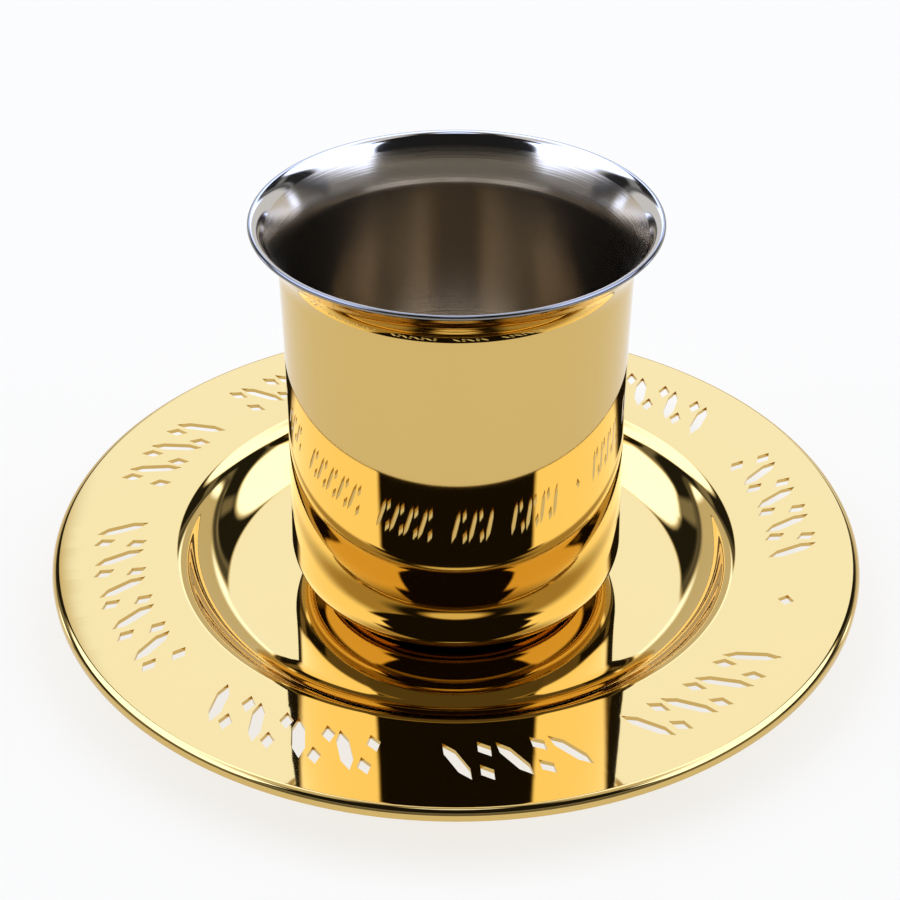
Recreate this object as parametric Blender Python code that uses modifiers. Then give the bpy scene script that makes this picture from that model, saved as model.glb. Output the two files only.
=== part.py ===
"""Kiddush cup on its saucer, both spun from thin polished sheet, the cup resting in the saucer's well.

Metres, +Z up. The origin is on the table under the middle of the saucer, and -Y is the front.
"""

import math

import bmesh
import bpy
import numpy as np
from mathutils import Matrix, Vector

MM = 0.001

# The saucer
SAUCER_RADIUS = 75.0 * MM
SAUCER_SHEET = 0.8 * MM
WELL_RADIUS = 53.2 * MM
WELL_DEPTH = 9.0 * MM
WALL_SLOPE = math.radians(57)
WALL_ROUNDING = 12.0 * MM
SHOULDER_ROUNDING = 4.0 * MM
RIM_DISH = 1.5 * MM
LIP_ROUNDING = 1.3 * MM
LIP_DROP = 1.9 * MM

# The cup
CUP_SHEET = 0.8 * MM
CUP_HEIGHT = 73.8 * MM
WAIST_RADIUS = 30.25 * MM
WAIST_HEIGHT = 42.7 * MM
WAIST_BEND = 1050.0 * MM
BOTTOM_ROUNDING = 8.5 * MM
CUP_RIM_RADIUS = 35.4 * MM
NECK_HEIGHT = 62.7 * MM
LIP_LEAN = math.radians(51)

# The cup's seat in the well
SEAT_GAP = 0.3 * MM

# The band of pierced strokes round the saucer's rim
BAND_MARGIN = 7.1 * MM
BAND_WIDTH = 10.2 * MM
STROKE_WIDTH = 2.4 * MM
SHORT_STROKE = 4.4 * MM
STROKE_PITCH = 4.3 * MM
STROKE_TILT = math.radians(28)
WORDS = ((-6, 21), (37, 55), (63, 84), (94, 114), (123, 134), (146, 165))
WORDS += ((180, 217), (231, 257), (270, 287), (300, 324))
LONE_DIAMOND = 340
DIAMOND_SPAN = 3.0 * MM

# How finely the round shapes are divided
SAUCER_STEPS = 64
CUP_STEPS = 48
AXIS_MERGE = 0.01 * MM

RIM_PLANE = SAUCER_SHEET + WELL_DEPTH
BAND_RADIUS = SAUCER_RADIUS - BAND_MARGIN - BAND_WIDTH / 2


def arc(centre, radius, start, end, steps):
    """Points (r, z) on an arc about centre, with angles in radians from +r towards +z."""
    angles = np.linspace(start, end, steps + 1)
    return [(centre[0] + radius * math.cos(a), centre[1] + radius * math.sin(a)) for a in angles]


def new_collection(name):
    collection = bpy.data.collections.new(name)
    bpy.context.scene.collection.children.link(collection)
    return collection


def metal(name, colour, roughness):
    """A bare metal surface."""
    material = bpy.data.materials.new(name)
    material.use_nodes = True
    shader = material.node_tree.nodes["Principled BSDF"]
    shader.inputs["Base Color"].default_value = (*colour, 1)
    shader.inputs["Metallic"].default_value = 1
    shader.inputs["Roughness"].default_value = roughness
    return material


def turned_shell(name, profile, steps, sheet, collection):
    """A sheet piece: the profile turned about Z, with the sheet's thickness behind its face."""
    mesh = bpy.data.meshes.new(name)
    edges = [(i, i + 1) for i in range(len(profile) - 1)]
    mesh.from_pydata([(r, 0, z) for r, z in profile], edges, [])
    piece = bpy.data.objects.new(name, mesh)
    collection.objects.link(piece)
    screw = piece.modifiers.new("turned", "SCREW")
    screw.axis = "Z"
    screw.steps = screw.render_steps = steps
    screw.use_merge_vertices = True
    screw.merge_threshold = AXIS_MERGE
    screw.use_smooth_shade = True
    wall = piece.modifiers.new("sheet", "SOLIDIFY")
    wall.thickness = sheet
    wall.offset = -1
    wall.use_even_offset = True
    return piece


def saucer_profile():
    """The saucer's upper face, from the middle of the well's floor out to the lip's lower edge."""
    floor = SAUCER_SHEET
    rim_slope = math.atan(RIM_DISH / (SAUCER_RADIUS - WELL_RADIUS))

    # The shoulder is convex, and its top meets the rim at the well's edge
    edge = (WELL_RADIUS, RIM_PLANE - RIM_DISH)
    shoulder = (
        edge[0] + SHOULDER_ROUNDING * math.sin(rim_slope),
        edge[1] - SHOULDER_ROUNDING * math.cos(rim_slope),
    )
    wall_top = (
        shoulder[0] - SHOULDER_ROUNDING * math.sin(WALL_SLOPE),
        shoulder[1] + SHOULDER_ROUNDING * math.cos(WALL_SLOPE),
    )

    # A straight stretch of wall runs down to the hollow rounding that leads into the floor
    rounding_rise = WALL_ROUNDING * (1 - math.cos(WALL_SLOPE))
    straight_run = (wall_top[1] - floor - rounding_rise) / math.tan(WALL_SLOPE)
    floor_edge = wall_top[0] - straight_run - WALL_ROUNDING * math.sin(WALL_SLOPE)
    hollow = (floor_edge, floor + WALL_ROUNDING)

    lip = (SAUCER_RADIUS - LIP_ROUNDING, RIM_PLANE - LIP_ROUNDING)
    points = [(0, floor), (floor_edge / 2, floor)]
    points += arc(hollow, WALL_ROUNDING, -math.pi / 2, WALL_SLOPE - math.pi / 2, 5)
    points += arc(shoulder, SHOULDER_ROUNDING, math.pi / 2 + WALL_SLOPE, math.pi / 2 + rim_slope, 4)
    points += arc(lip, LIP_ROUNDING, math.pi / 2 + rim_slope, 0, 3)
    points.append((SAUCER_RADIUS, RIM_PLANE - LIP_DROP))
    return points


def cup_profile():
    """The cup's outer face, from the rim's edge down to the middle of the bottom."""
    base = SAUCER_SHEET + SEAT_GAP
    neck = base + NECK_HEIGHT
    waist = base + WAIST_HEIGHT

    # The body is slightly waisted: its side is a shallow arc whose centre lies outside
    side_centre = WAIST_RADIUS + WAIST_BEND

    def side(z):
        return side_centre - math.sqrt(WAIST_BEND**2 - (z - waist) ** 2)

    # The flare turns outward ever faster, to the lip's lean at the edge, whose inner side is highest
    neck_radius = side(neck)
    reach = CUP_RIM_RADIUS - neck_radius
    rise = CUP_HEIGHT - NECK_HEIGHT - CUP_SHEET * math.sin(LIP_LEAN)
    power = math.tan(LIP_LEAN) * rise / reach
    flare = [(neck_radius + reach * t**power, neck + rise * t) for t in np.linspace(1, 0, 8)]

    # The bottom's rounding touches both the side's arc and the flat bottom
    rounding_height = base + BOTTOM_ROUNDING
    span = WAIST_BEND + BOTTOM_ROUNDING
    lean = math.asin((waist - rounding_height) / span)
    rounding = (side_centre - span * math.cos(lean), rounding_height)
    heights = np.linspace(neck, rounding_height + BOTTOM_ROUNDING * math.sin(lean), 5)[1:-1]
    points = flare + [(side(z), z) for z in heights]
    points += arc(rounding, BOTTOM_ROUNDING, lean, -math.pi / 2, 5)
    points.append((0, base))
    return points


def stroke_cutter(sides, length, width, azimuth, radius, tilt):
    """A cutter for one stroke of the band, its length along the saucer's radius before the tilt."""
    shape = bmesh.new()
    bmesh.ops.create_cone(
        shape, cap_ends=True, segments=sides, radius1=0.5, radius2=0.5, depth=4 * LIP_DROP
    )
    bmesh.ops.scale(shape, vec=Vector((length, width, 1)), verts=shape.verts)
    place = Matrix.Rotation(azimuth, 4, "Z") @ Matrix.Translation((radius, 0, RIM_PLANE))
    bmesh.ops.transform(shape, matrix=place @ Matrix.Rotation(tilt, 4, "Z"), verts=shape.verts)
    mesh = bpy.data.meshes.new("stroke")
    shape.to_mesh(mesh)
    shape.free()
    cutter = bpy.data.objects.new("stroke", mesh)
    cutter.hide_render = True
    cutter.display_type = "WIRE"
    cutters.objects.link(cutter)


def word_cutters(start, end):
    """One word's strokes, all slanted one way: a long leaf by turns with a short leaf over another."""
    count = round(math.radians(end - start) * BAND_RADIUS / STROKE_PITCH)
    for i in range(count + 1):
        azimuth = math.radians(start + (end - start) * i / count)
        if i % 2 == 0:
            stroke_cutter(6, BAND_WIDTH, STROKE_WIDTH, azimuth, BAND_RADIUS, STROKE_TILT)
            continue
        for side in (-1, 1):
            radius = BAND_RADIUS + side * (BAND_WIDTH - SHORT_STROKE) / 2
            stroke_cutter(4, SHORT_STROKE, STROKE_WIDTH, azimuth, radius, STROKE_TILT)


def pierced(saucer):
    """Cuts the band of strokes right through the saucer's rim."""
    for start, end in WORDS:
        word_cutters(start, end)
    stroke_cutter(4, DIAMOND_SPAN, DIAMOND_SPAN, math.radians(LONE_DIAMOND), BAND_RADIUS, 0)
    cut = saucer.modifiers.new("strokes", "BOOLEAN")
    cut.operand_type = "COLLECTION"
    cut.collection = cutters
    cut.operation = "DIFFERENCE"
    cut.solver = "EXACT"


for left_over in list(bpy.data.objects):
    bpy.data.objects.remove(left_over)
parts = new_collection("kiddush_cup")
cutters = new_collection("cutters")
cutters.hide_render = True

saucer = turned_shell("saucer", saucer_profile(), SAUCER_STEPS, SAUCER_SHEET, parts)
saucer.data.materials.append(metal("saucer_gold", (0.66, 0.46, 0.155), 0.06))
pierced(saucer)

cup = turned_shell("cup", cup_profile(), CUP_STEPS, CUP_SHEET, parts)
cup.data.materials.append(metal("cup_gold", (0.66, 0.46, 0.155), 0.06))
cup.data.materials.append(metal("cup_steel", (0.55, 0.53, 0.5), 0.3))
cup.modifiers["sheet"].material_offset = 1
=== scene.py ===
"""The looks of a kiddush cup and its saucer: mirror-polished gold plate, bare steel inside the cup."""

import math

import bpy
import numpy as np
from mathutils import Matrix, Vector


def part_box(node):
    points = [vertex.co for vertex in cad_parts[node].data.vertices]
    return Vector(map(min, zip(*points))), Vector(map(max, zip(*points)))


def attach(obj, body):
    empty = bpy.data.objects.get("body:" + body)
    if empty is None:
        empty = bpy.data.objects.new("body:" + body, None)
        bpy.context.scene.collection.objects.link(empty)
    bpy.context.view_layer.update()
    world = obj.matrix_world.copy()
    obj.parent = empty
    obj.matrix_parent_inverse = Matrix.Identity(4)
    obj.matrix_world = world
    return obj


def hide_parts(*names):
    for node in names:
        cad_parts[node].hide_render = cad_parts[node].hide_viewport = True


MM = 0.001

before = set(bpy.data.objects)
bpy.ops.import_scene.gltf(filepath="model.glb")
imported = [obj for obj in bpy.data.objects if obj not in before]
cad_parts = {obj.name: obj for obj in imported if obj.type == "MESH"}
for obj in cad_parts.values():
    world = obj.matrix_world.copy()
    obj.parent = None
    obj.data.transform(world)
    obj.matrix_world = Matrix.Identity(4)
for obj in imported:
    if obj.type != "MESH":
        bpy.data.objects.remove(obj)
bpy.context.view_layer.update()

# The saucer, in metres, as its solid has it
saucer_low, saucer_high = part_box("saucer")
SAUCER_RADIUS = saucer_high.x
SAUCER_SHEET = 0.8 * MM
RIM_PLANE = saucer_high.z
WELL_RADIUS = 53.2 * MM
WALL_SLOPE = math.radians(57)
WALL_ROUNDING = 12.0 * MM
SHOULDER_ROUNDING = 4.0 * MM
RIM_DISH = 1.5 * MM
LIP_ROUNDING = 1.3 * MM
LIP_DROP = 1.9 * MM

# The cup, as its solid has it, but with its flare starting 2 mm higher, as its reflection asks
cup_low, cup_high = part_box("cup")
CUP_BASE = cup_low.z
CUP_HEIGHT = cup_high.z - cup_low.z
CUP_SHEET = 0.8 * MM
WAIST_RADIUS = 30.25 * MM
WAIST_HEIGHT = 42.7 * MM
WAIST_BEND = 1050.0 * MM
BOTTOM_ROUNDING = 8.5 * MM
CUP_RIM_RADIUS = cup_high.x
NECK_HEIGHT = 64.7 * MM
LIP_LEAN = math.radians(51)

# Inside the cup, a crease this far below the lip's top divides its polish from the satin, and the
# polished lip rolls over from this slope to level, ever faster towards the edge
POLISH_DEPTH = 2.2 * MM
CREASE_RADIUS = 32.6 * MM
INNER_FLARE = 1.6
ROLL_START = math.radians(56)
ROLL_POINTS = 24
EDGE_RADIUS = CUP_RIM_RADIUS - 0.75 * MM

# The band of pierced strokes round the saucer's rim
BAND_MARGIN = 7.1 * MM
BAND_WIDTH = 10.2 * MM
BAND_RADIUS = SAUCER_RADIUS - BAND_MARGIN - BAND_WIDTH / 2
STROKE_WIDTH = 2.4 * MM
SHORT_STROKE = 4.4 * MM
STROKE_PITCH = 4.3 * MM
STROKE_TILT = math.radians(28)
WORDS = ((-6, 21), (37, 55), (63, 84), (94, 114), (123, 134), (146, 165))
WORDS += ((180, 217), (231, 257), (270, 287), (300, 324))
LONE_DIAMOND = 340
DIAMOND_SPAN = 3.0 * MM

# How finely the turned pieces are spun, what counts as one point, and the sharpest smooth edges
TURN_STEPS = 192
MERGE = 0.01 * MM
ARC_STEP = math.radians(4)
FLARE_POINTS = 24
SIDE_POINTS = 24
SHARP_ANGLE = math.radians(35)
CREASE_ANGLE = math.radians(15)

# Gold plate, mirror-polished, with a faint orange peel
GOLD = (0.66, 0.46, 0.155)
GOLD_ROUGHNESS = 0.03
PEEL_SCALE = 90
PEEL_STRENGTH = 0.01
BUMP_DEPTH = 0.1 * MM

# Bare steel: polished on the lip, darker on its cut edge, and satin with fine rings below
POLISHED = (0.66, 0.63, 0.6)
CUT_EDGE = (0.25, 0.24, 0.23)
POLISH_ROUGHNESS = 0.08
SATIN = (0.6, 0.52, 0.4)
SATIN_ROUGHNESS = 0.17
SATIN_STRETCH = 0.8
RING_SCALE = 2500
RING_STRENGTH = 0.15

# The glowing table
TABLE_SPAN = 1.6
TABLE_COLOUR = (1, 0.99, 0.96)
TABLE_GLOW = 0.79
TABLE_BASE = (0.2, 0.185, 0.15)
TABLE_ROUGHNESS = 0.9

# The camera, fitted to the outlines in the photograph
LENS = 72
SENSOR = 36
CAMERA_DISTANCE = 330 * MM
CAMERA_TILT = math.radians(33.75)
AIM_ASIDE = -1.1 * MM
AIM_ABOVE_RIM = 17.1 * MM

# The white tent around the object, the plain backdrop that the camera sees instead, and how much
# cooler the brightest light is
TENT_LEVEL = 2.3
BACKDROP_LEVEL = 0.965
COOL_FROM = (0.8, 1.4)
COOL_GREEN = 0.2
COOL_BLUE = 0.85

# The panels in the tent, the later over the earlier, each with its bearings from the back and its
# heights in degrees, its level, the softness of its edges and its rise towards the sides
PANELS = (
    ((-40, -9), (28, 38), 1.35, 2.5, 0),
    ((9, 40), (28, 38), 1.35, 2.5, 0),
    ((-58, 60), (-30, 24), 0.8, 3, 0.05),
    ((-12, 15), (26, 52), 1.42, 2, 0),
    ((-128, -66), (-3, 27), 0.22, 3, 0),
    ((66, 128), (-3, 27), 0.22, 3, 0),
    ((-86, -11), (34, 49), 0.02, 2, 0.32),
    ((-70, -12), (31, 36), 0.12, 2, 0.32),
    ((-58, -44), (36, 49), 0.3, 3, 0.32),
    ((14, 92), (38, 52), 0.02, 2, 0.32),
    ((14, 70), (33.5, 39), 0.1, 2, 0.32),
    ((48, 58), (40, 50), 0.25, 3, 0.32),
    ((-200, 200), (60, 120), 0.8, 8, 0),
    ((-200, 200), (77, 120), 0.02, 3, 0),
    ((-200, 200), (84, 120), 1.5, 2, 0),
    ((122, 200), (-30, 31), 0.18, 3, 0),
    ((124, 200), (31, 80), 0.015, 2, 0),
    ((108, 200), (54, 80), 0.015, 3, 0),
    ((-200, -122), (-30, 31), 0.18, 3, 0),
    ((-200, -125), (31, 80), 0.015, 2, 0),
    ((-200, -108), (54, 80), 0.015, 3, 0),
)


def nothing_selected():
    """Leaves object mode with no object selected."""
    if bpy.context.mode != "OBJECT":
        bpy.ops.object.mode_set(mode="OBJECT")
    bpy.ops.object.select_all(action="DESELECT")


def arc(centre, radius, start, end):
    """Points (r, z) on an arc about centre, with angles in radians from +r towards +z."""
    steps = max(2, math.ceil(abs(end - start) / ARC_STEP))
    angles = np.linspace(start, end, steps + 1)
    return [(centre[0] + radius * math.cos(a), centre[1] + radius * math.sin(a)) for a in angles]


def spun(name, profile):
    """A turned sheet piece: one corner of a small plane is drawn along the profile, and spun."""
    nothing_selected()
    bpy.ops.mesh.primitive_plane_add(size=MM, location=(0, 0, 0))
    piece = bpy.context.object
    piece.name = piece.data.name = name
    bpy.ops.object.mode_set(mode="EDIT")
    bpy.ops.mesh.merge(type="CENTER")
    bpy.ops.mesh.select_all(action="SELECT")
    start = (profile[0][0], 0, profile[0][1])
    bpy.ops.transform.translate(value=start)
    for (r, z), (next_r, next_z) in zip(profile, profile[1:]):
        bpy.ops.mesh.extrude_region_move(TRANSFORM_OT_translate={"value": (next_r - r, 0, next_z - z)})
    bpy.ops.mesh.select_all(action="SELECT")
    bpy.ops.mesh.spin(steps=TURN_STEPS, angle=2 * math.pi, center=(0, 0, 0), axis=(0, 0, 1))
    bpy.ops.mesh.select_all(action="SELECT")
    bpy.ops.mesh.remove_doubles(threshold=MERGE)
    bpy.ops.object.mode_set(mode="OBJECT")
    return piece


def applied(piece, kind, **settings):
    """Adds a modifier with these settings and applies it."""
    nothing_selected()
    bpy.context.view_layer.objects.active = piece
    piece.select_set(True)
    modifier = piece.modifiers.new(kind.lower(), kind)
    for key, value in settings.items():
        setattr(modifier, key, value)
    bpy.ops.object.modifier_apply(modifier=modifier.name)
    return piece


def facing(piece, outward):
    """Turns the open sheet's faces to the side that outward(face centre) points to."""
    nothing_selected()
    bpy.context.view_layer.objects.active = piece
    piece.select_set(True)
    bpy.ops.object.mode_set(mode="EDIT")
    bpy.ops.mesh.select_all(action="SELECT")
    bpy.ops.mesh.normals_make_consistent(inside=False)
    bpy.ops.object.mode_set(mode="OBJECT")
    face = piece.data.polygons[0]
    if face.normal.dot(outward(face.center)) < 0:
        bpy.ops.object.mode_set(mode="EDIT")
        bpy.ops.mesh.select_all(action="SELECT")
        bpy.ops.mesh.flip_normals()
        bpy.ops.object.mode_set(mode="OBJECT")


def smooth(piece, angle):
    """Shades the piece smooth, with the edges past this angle left sharp."""
    nothing_selected()
    bpy.context.view_layer.objects.active = piece
    piece.select_set(True)
    bpy.ops.object.shade_smooth_by_angle(angle=angle)


def saucer_profile():
    """The saucer's upper face, from the middle of the well's floor out to the lip's lower edge."""
    floor = SAUCER_SHEET
    rim_slope = math.atan(RIM_DISH / (SAUCER_RADIUS - WELL_RADIUS))
    edge = (WELL_RADIUS, RIM_PLANE - RIM_DISH)
    shoulder = (
        edge[0] + SHOULDER_ROUNDING * math.sin(rim_slope),
        edge[1] - SHOULDER_ROUNDING * math.cos(rim_slope),
    )
    wall_top = (
        shoulder[0] - SHOULDER_ROUNDING * math.sin(WALL_SLOPE),
        shoulder[1] + SHOULDER_ROUNDING * math.cos(WALL_SLOPE),
    )
    rounding_rise = WALL_ROUNDING * (1 - math.cos(WALL_SLOPE))
    straight_run = (wall_top[1] - floor - rounding_rise) / math.tan(WALL_SLOPE)
    floor_edge = wall_top[0] - straight_run - WALL_ROUNDING * math.sin(WALL_SLOPE)
    hollow = (floor_edge, floor + WALL_ROUNDING)
    lip = (SAUCER_RADIUS - LIP_ROUNDING, RIM_PLANE - LIP_ROUNDING)
    points = [(floor_edge * share, floor) for share in (0, 0.25, 0.5, 0.75)]
    points += arc(hollow, WALL_ROUNDING, -math.pi / 2, WALL_SLOPE - math.pi / 2)
    points += arc(shoulder, SHOULDER_ROUNDING, math.pi / 2 + WALL_SLOPE, math.pi / 2 + rim_slope)
    points += arc(lip, LIP_ROUNDING, math.pi / 2 + rim_slope, 0)
    points.append((SAUCER_RADIUS, RIM_PLANE - LIP_DROP))
    return points


def cup_profiles():
    """The cup's outer face from its lip down, and its inner face from the bottom's middle up to the lip."""
    neck = CUP_BASE + NECK_HEIGHT
    waist = CUP_BASE + WAIST_HEIGHT
    side_centre = WAIST_RADIUS + WAIST_BEND

    def side(z):
        return side_centre - math.sqrt(WAIST_BEND**2 - (z - waist) ** 2)

    # The flare outside, which turns outward ever faster, and the lip's round edge of half a sheet
    reach = CUP_RIM_RADIUS - side(neck)
    rise = CUP_HEIGHT - NECK_HEIGHT - CUP_SHEET * math.sin(LIP_LEAN)
    power = math.tan(LIP_LEAN) * rise / reach
    edge = CUP_SHEET / 2
    last = 1 - edge * math.cos(LIP_LEAN) / rise
    shares = np.linspace(last, 0, FLARE_POINTS)
    flare = [(side(neck) + reach * t**power, neck + rise * t) for t in shares]
    middle = (flare[0][0] - edge * math.cos(LIP_LEAN), flare[0][1] + edge * math.sin(LIP_LEAN))
    lip = arc(middle, edge, math.pi / 2, -LIP_LEAN)

    # The bottom's rounding touches both the side's arc and the flat bottom
    rounding_height = CUP_BASE + BOTTOM_ROUNDING
    span = WAIST_BEND + BOTTOM_ROUNDING
    lean = math.asin((waist - rounding_height) / span)
    rounding = (side_centre - span * math.cos(lean), rounding_height)
    heights = np.linspace(neck, rounding_height + BOTTOM_ROUNDING * math.sin(lean), SIDE_POINTS)[1:-1]
    flat = [rounding[0] * share for share in (0.75, 0.5, 0.25, 0)]
    outer = flare + [(side(z), z) for z in heights]
    outer += arc(rounding, BOTTOM_ROUNDING, lean, -math.pi / 2)
    outer += [(r, CUP_BASE) for r in flat]

    # Inside, the wall leans out a little up to the crease, where the polished lip begins
    inner_neck = side(neck) - CUP_SHEET
    crease_height = cup_high.z - POLISH_DEPTH
    inner = [(r, CUP_BASE + CUP_SHEET) for r in reversed(flat)]
    inner += arc(rounding, BOTTOM_ROUNDING - CUP_SHEET, -math.pi / 2, lean)
    inner += [(side(z) - CUP_SHEET, z) for z in reversed(heights)]
    for t in np.linspace(0, 1, FLARE_POINTS):
        radius = inner_neck + (CREASE_RADIUS - inner_neck) * t**INNER_FLARE
        inner.append((radius, neck + (crease_height - neck) * t))
    return outer, inner + rolled(inner[-1], lip[0]) + lip


def rolled(start, end):
    """The points between two of a profile, on a curve that starts steep and ends level."""
    chord = math.atan2(end[1] - start[1], end[0] - start[0])
    power = ROLL_START / (ROLL_START - chord) - 1
    steps = np.linspace(0, 1, ROLL_POINTS)
    slopes = ROLL_START * (1 - ((steps[1:] + steps[:-1]) / 2) ** power)
    run, rise = np.cumsum(np.cos(slopes)), np.cumsum(np.sin(slopes))
    return [
        (start[0] + (end[0] - start[0]) * r / run[-1], start[1] + (end[1] - start[1]) * z / rise[-1])
        for r, z in zip(run[:-1], rise[:-1])
    ]


def stroke(sides, length, width):
    """One cutter at the origin: a leaf-shaped prism, its length along Y."""
    nothing_selected()
    bpy.ops.mesh.primitive_cylinder_add(vertices=sides, radius=0.5, depth=4 * LIP_DROP)
    piece = bpy.context.object
    bpy.ops.object.mode_set(mode="EDIT")
    bpy.ops.mesh.select_all(action="SELECT")
    bpy.ops.transform.resize(value=(width, length, 1))
    bpy.ops.object.mode_set(mode="OBJECT")
    return piece


def stroke_copy(pattern, azimuth, radius, tilt):
    """A copy of a cutter at its place in the band."""
    piece = pattern.copy()
    piece.data = pattern.data.copy()
    bpy.context.scene.collection.objects.link(piece)
    piece.location = (radius * math.cos(azimuth), radius * math.sin(azimuth), RIM_PLANE)
    piece.rotation_euler = (0, 0, azimuth - math.pi / 2 + tilt)
    return piece


def band_of_strokes():
    """All the cutters of the band as one object."""
    leaf = stroke(6, BAND_WIDTH, STROKE_WIDTH)
    short_leaf = stroke(4, SHORT_STROKE, STROKE_WIDTH)
    diamond = stroke(4, DIAMOND_SPAN, DIAMOND_SPAN)
    copies = [stroke_copy(diamond, math.radians(LONE_DIAMOND), BAND_RADIUS, 0)]
    for start, end in WORDS:
        count = round(math.radians(end - start) * BAND_RADIUS / STROKE_PITCH)
        for i in range(count + 1):
            azimuth = math.radians(start + (end - start) * i / count)
            if i % 2 == 0:
                copies.append(stroke_copy(leaf, azimuth, BAND_RADIUS, STROKE_TILT))
                continue
            for side in (-1, 1):
                radius = BAND_RADIUS + side * (BAND_WIDTH - SHORT_STROKE) / 2
                copies.append(stroke_copy(short_leaf, azimuth, radius, STROKE_TILT))
    for pattern in (leaf, short_leaf, diamond):
        bpy.data.objects.remove(pattern)
    nothing_selected()
    for piece in copies:
        piece.select_set(True)
    bpy.context.view_layer.objects.active = copies[0]
    bpy.ops.object.join()
    bpy.ops.object.transform_apply(location=True, rotation=True, scale=True)
    return copies[0]


def make_saucer():
    """The saucer: its upper face given the sheet's thickness, and pierced."""
    saucer = spun("saucer_finish", saucer_profile())
    facing(saucer, lambda centre: Vector((0, 0, 1)))
    applied(saucer, "SOLIDIFY", thickness=SAUCER_SHEET, offset=-1, use_even_offset=True)
    band = band_of_strokes()
    applied(saucer, "BOOLEAN", object=band, operation="DIFFERENCE", solver="EXACT")
    bpy.data.objects.remove(band)
    smooth(saucer, SHARP_ANGLE)
    saucer.data.materials.append(gold_plate("saucer_gold"))
    return saucer


def make_cup():
    """The cup: its gold outer face and its steel inner face, joined at the lip."""
    outer, inner = cup_profiles()
    cup = spun("cup_finish", outer)
    facing(cup, lambda centre: Vector((centre.x, centre.y, 0)))
    cup.data.materials.append(gold_plate("cup_gold"))
    lining = spun("lining", inner)
    facing(lining, lambda centre: Vector((0, 0, 1)))
    lining.data.materials.append(satin_steel("cup_satin"))
    lining.data.materials.append(polished_steel("cup_polish", POLISHED))
    lining.data.materials.append(polished_steel("cup_edge", CUT_EDGE))
    for face in lining.data.polygons:
        on_lip = face.center.z > cup_high.z - POLISH_DEPTH
        on_edge = face.center.xy.length > EDGE_RADIUS
        face.material_index = (2 if on_edge else 1) if on_lip else 0
    nothing_selected()
    lining.select_set(True)
    cup.select_set(True)
    bpy.context.view_layer.objects.active = cup
    bpy.ops.object.join()
    bpy.ops.object.mode_set(mode="EDIT")
    bpy.ops.mesh.select_all(action="SELECT")
    bpy.ops.mesh.remove_doubles(threshold=MERGE)
    bpy.ops.object.mode_set(mode="OBJECT")
    smooth(cup, CREASE_ANGLE)
    return cup


def shader_of(name, colour, roughness):
    """A new metal material, its tree and its shader."""
    material = bpy.data.materials.new(name)
    material.use_nodes = True
    tree = material.node_tree
    shader = tree.nodes["Principled BSDF"]
    shader.inputs["Base Color"].default_value = (*colour, 1)
    shader.inputs["Metallic"].default_value = 1
    shader.inputs["Roughness"].default_value = roughness
    return material, tree, shader


def gold_plate(name):
    """Mirror-polished gold plate with a faint orange peel."""
    material, tree, shader = shader_of(name, GOLD, GOLD_ROUGHNESS)
    place = tree.nodes.new("ShaderNodeTexCoord")
    peel = tree.nodes.new("ShaderNodeTexNoise")
    peel.inputs["Scale"].default_value = PEEL_SCALE
    peel.inputs["Detail"].default_value = 2
    bump = tree.nodes.new("ShaderNodeBump")
    bump.inputs["Strength"].default_value = PEEL_STRENGTH
    bump.inputs["Distance"].default_value = BUMP_DEPTH
    tree.links.new(place.outputs["Object"], peel.inputs["Vector"])
    tree.links.new(peel.outputs["Fac"], bump.inputs["Height"])
    tree.links.new(bump.outputs["Normal"], shader.inputs["Normal"])
    return material


def satin_steel(name):
    """Bare steel with the fine rings of its spinning."""
    material, tree, shader = shader_of(name, SATIN, SATIN_ROUGHNESS)
    shader.inputs["Anisotropic"].default_value = SATIN_STRETCH
    shader.inputs["Anisotropic Rotation"].default_value = 0.25
    place = tree.nodes.new("ShaderNodeTexCoord")
    parts = tree.nodes.new("ShaderNodeSeparateXYZ")
    rings = tree.nodes.new("ShaderNodeTexNoise")
    rings.noise_dimensions = "1D"
    rings.inputs["Scale"].default_value = RING_SCALE
    rings.inputs["Detail"].default_value = 3
    bump = tree.nodes.new("ShaderNodeBump")
    bump.inputs["Strength"].default_value = RING_STRENGTH
    bump.inputs["Distance"].default_value = BUMP_DEPTH
    tree.links.new(place.outputs["Object"], parts.inputs["Vector"])
    tree.links.new(parts.outputs["Z"], rings.inputs["W"])
    tree.links.new(rings.outputs["Fac"], bump.inputs["Height"])
    tree.links.new(bump.outputs["Normal"], shader.inputs["Normal"])
    return material


def polished_steel(name, colour):
    """Plain polished steel."""
    return shader_of(name, colour, POLISH_ROUGHNESS)[0]


def light_table():
    """A large white tabletop that glows from below, as a product photographer's does."""
    nothing_selected()
    bpy.ops.mesh.primitive_plane_add(size=TABLE_SPAN, location=(0, 0, 0))
    table = bpy.context.object
    table.name = "light_table"
    material = bpy.data.materials.new("glowing_acrylic")
    material.use_nodes = True
    shader = material.node_tree.nodes["Principled BSDF"]
    shader.inputs["Base Color"].default_value = (*TABLE_BASE, 1)
    shader.inputs["Roughness"].default_value = TABLE_ROUGHNESS
    shader.inputs["Specular IOR Level"].default_value = 0
    shader.inputs["Emission Color"].default_value = (*TABLE_COLOUR, 1)
    shader.inputs["Emission Strength"].default_value = TABLE_GLOW
    table.data.materials.append(material)


def studio_camera():
    """The camera, fitted to the outlines in the photograph."""
    lens = bpy.data.cameras.new("camera")
    lens.lens = LENS
    lens.sensor_width = SENSOR
    camera = bpy.data.objects.new("camera", lens)
    bpy.context.scene.collection.objects.link(camera)
    aim = Vector((AIM_ASIDE, 0, RIM_PLANE + AIM_ABOVE_RIM))
    backwards = Vector((0, -math.cos(CAMERA_TILT), math.sin(CAMERA_TILT)))
    camera.location = aim + CAMERA_DISTANCE * backwards
    camera.rotation_euler = (math.pi / 2 - CAMERA_TILT, 0, 0)
    bpy.context.scene.camera = camera


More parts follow.
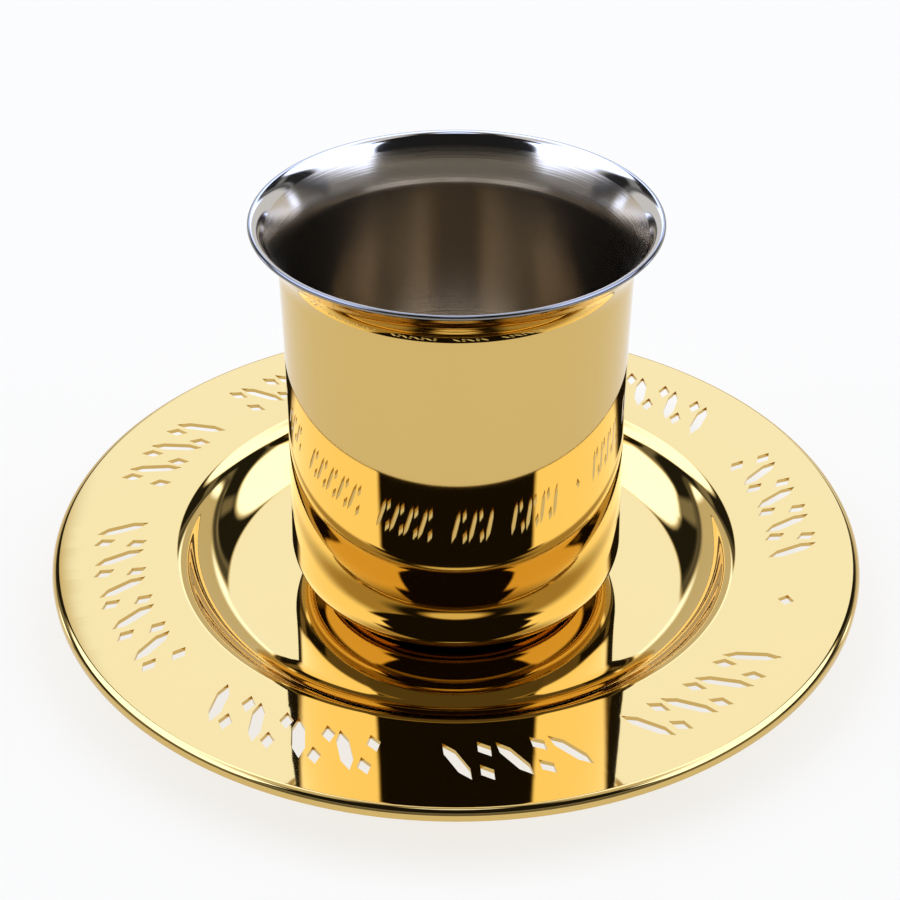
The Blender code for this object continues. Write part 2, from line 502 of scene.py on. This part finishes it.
def formula(tree, operation, *inputs):
    """A Math node on these numbers or outputs, and its result."""
    node = tree.nodes.new("ShaderNodeMath")
    node.operation = operation
    for socket, value in zip(node.inputs, inputs):
        if isinstance(value, (int, float)):
            socket.default_value = value
        else:
            tree.links.new(value, socket)
    return node.outputs[0]


def fade(tree, value, start, end):
    """0 below start and 1 above end, smoothly, or the other way round if end is the smaller."""
    node = tree.nodes.new("ShaderNodeMapRange")
    node.interpolation_type = "SMOOTHSTEP"
    node.inputs["From Min"].default_value = start
    node.inputs["From Max"].default_value = end
    tree.links.new(value, node.inputs["Value"])
    return node.outputs["Result"]


def panel(tree, light, bearing, height, bearings, heights, level, softness, lean):
    """Lays one soft-edged panel over the light so far; lean raises it towards the sides, per degree."""
    side = formula(tree, "ABSOLUTE", bearing)
    raised = formula(tree, "MULTIPLY_ADD", side, lean, height)
    cover = fade(tree, bearing, bearings[0] - softness, bearings[0] + softness)
    for value, low, high in (
        (bearing, bearings[1] + softness, bearings[1] - softness),
        (raised, heights[0] - softness, heights[0] + softness),
        (raised, heights[1] + softness, heights[1] - softness),
    ):
        cover = formula(tree, "MULTIPLY", cover, fade(tree, value, low, high))
    change = formula(tree, "SUBTRACT", level, light)
    return formula(tree, "MULTIPLY_ADD", change, cover, light)


def studio_surroundings():
    """The white tent and dark flags around the object, by bearing from the back and height."""
    world = bpy.data.worlds.new("studio")
    bpy.context.scene.world = world
    world.use_nodes = True
    tree = world.node_tree
    background = tree.nodes["Background"]
    place = tree.nodes.new("ShaderNodeTexCoord")
    parts = tree.nodes.new("ShaderNodeSeparateXYZ")
    tree.links.new(place.outputs["Generated"], parts.inputs["Vector"])
    x, y, z = parts.outputs
    height = formula(tree, "DEGREES", formula(tree, "ARCSINE", z))
    bearing = formula(tree, "DEGREES", formula(tree, "ARCTAN2", x, y))
    light = TENT_LEVEL
    for settings in PANELS:
        light = panel(tree, light, bearing, height, *settings)

    # The brightest panels are a little cooler, and the camera itself sees a plain white backdrop
    cool = fade(tree, light, *COOL_FROM)
    colour = tree.nodes.new("ShaderNodeCombineXYZ")
    colour.inputs["X"].default_value = 1
    tree.links.new(formula(tree, "MULTIPLY_ADD", cool, COOL_GREEN, 1.0), colour.inputs["Y"])
    tree.links.new(formula(tree, "MULTIPLY_ADD", cool, COOL_BLUE, 1.0), colour.inputs["Z"])
    tree.links.new(colour.outputs["Vector"], background.inputs["Color"])
    tree.links.new(light, background.inputs["Strength"])
    backdrop = tree.nodes.new("ShaderNodeBackground")
    backdrop.inputs["Color"].default_value = (1, 1, 1, 1)
    backdrop.inputs["Strength"].default_value = BACKDROP_LEVEL
    seen = tree.nodes.new("ShaderNodeLightPath")
    chosen = tree.nodes.new("ShaderNodeMixShader")
    tree.links.new(seen.outputs["Is Camera Ray"], chosen.inputs[0])
    tree.links.new(background.outputs["Background"], chosen.inputs[1])
    tree.links.new(backdrop.outputs["Background"], chosen.inputs[2])
    tree.links.new(chosen.outputs["Shader"], tree.nodes["World Output"].inputs["Surface"])


saucer = make_saucer()
cup = make_cup()
for piece, node, slot in ((saucer, "saucer", "saucer_gold"), (cup, "cup", "cup_gold")):
    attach(piece, "root")
    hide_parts(node)
light_table()
studio_camera()
studio_surroundings()
bpy.context.scene.view_settings.view_transform = "Standard"
